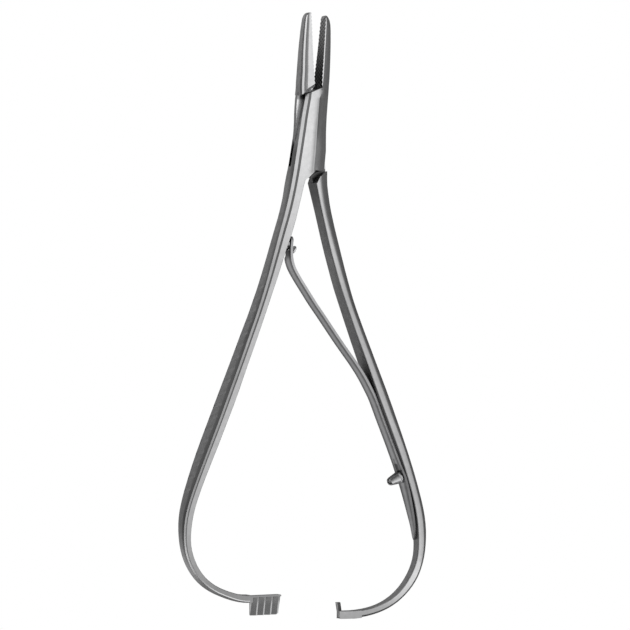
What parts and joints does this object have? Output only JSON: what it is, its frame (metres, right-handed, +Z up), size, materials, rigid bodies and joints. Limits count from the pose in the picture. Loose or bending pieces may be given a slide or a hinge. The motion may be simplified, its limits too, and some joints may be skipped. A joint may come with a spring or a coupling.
{
  "type": "mathieu pliers",
  "caption": "Slim stainless mathieu pliers with box joint, serrated straight jaws, bowed handles, leaf spring and hook-and-rack ratchet, lying open.",
  "frame": {"origin": "on the hinge axis, at the back face of the box joint, which is the plane the pliers lie on", "axes": "+Y from the hinge towards the jaw tips, +X towards the arm that carries the hook and the leaf spring, +Z up from the resting plane"},
  "size_m": [0.0632, 0.1397, 0.0059],
  "materials": {
    "forged_steel": "satin ground stainless steel",
    "spring_steel": "satin spring steel",
    "turned_steel": "turned, lightly polished"
  },
  "bodies": {
    "lock_half": {"box_lock_arm": "forged_steel", "hinge_pin": "forged_steel", "guide_stud": "turned_steel"},
    "tongue_half": {"tongue_arm": "forged_steel", "leaf_spring": "spring_steel", "spring_screw": "turned_steel"}
  },
  "joints": [
    {"name": "box_joint", "type": "hinge", "parent": "lock_half", "child": "tongue_half", "pos_m": [0, 0, 0], "axis": [0, 0, -1], "range_deg": [0, 7.4], "stiffness_Nm_per_rad": 2, "springref_deg": -5.73, "deforming": ["leaf_spring"]}
  ]
}
